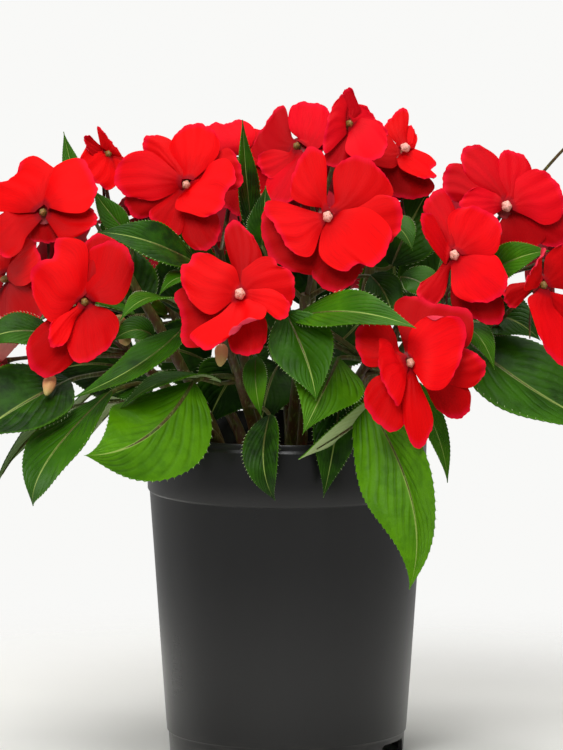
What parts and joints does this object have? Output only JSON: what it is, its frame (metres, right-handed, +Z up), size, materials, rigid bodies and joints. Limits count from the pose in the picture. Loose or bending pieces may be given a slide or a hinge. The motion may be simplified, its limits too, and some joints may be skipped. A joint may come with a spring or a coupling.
{
  "type": "potted new guinea impatiens",
  "caption": "Flowering New Guinea impatiens in a black plastic nursery pot: leafy shoots and broad red blooms that stand in potting mix.",
  "frame": {"origin": "middle of the pot's foot, on the plane it stands on", "axes": "+Z up; -Y towards the plant's front, the side with the most open blooms; +X to the right seen from the front"},
  "size_m": [0.3455, 0.2597, 0.3597],
  "materials": {
    "pot_plastic": "satin black, moulded",
    "potting_mix": "damp dark crumbs",
    "green_shoot": "glossy, veined leaves and smooth stems",
    "red_petal": "soft velvet red petals",
    "faded_petal": "limp faded pink petals"
  },
  "bodies": {
    "root": {"pot": "pot_plastic", "soil": "potting_mix", "shoot_front_left": "green_shoot", "shoot_front_right": "green_shoot", "shoot_left": "green_shoot", "shoot_upper_left": "green_shoot", "shoot_right": "green_shoot", "shoot_upper_right": "green_shoot", "shoot_front_centre": "green_shoot", "shoot_top_centre": "green_shoot", "shoot_top_left": "green_shoot", "shoot_top_right": "green_shoot", "shoot_rear_left": "green_shoot", "shoot_rear": "green_shoot", "shoot_rear_right": "green_shoot", "bloom_left_top": "red_petal", "bloom_left_rear": "red_petal", "bloom_left_mid": "red_petal", "bloom_left_centre": "red_petal", "bloom_front_left": "red_petal", "bloom_centre": "red_petal", "bloom_top_centre": "red_petal", "bloom_top": "red_petal", "bloom_top_right": "red_petal", "bloom_right_top": "red_petal", "bloom_right_mid": "red_petal", "bloom_front_right": "red_petal", "bloom_right_edge": "red_petal", "bloom_top_rear": "red_petal", "bloom_faded_left": "faded_petal", "bloom_left_edge": "red_petal", "bloom_rear_left": "red_petal", "bloom_rear_top": "red_petal", "bloom_rear_right": "red_petal", "bloom_back_left": "red_petal", "bloom_back_centre_left": "red_petal", "bloom_back_centre": "red_petal", "bloom_back_right": "red_petal", "bloom_right_side": "red_petal"}
  },
  "joints": []
}
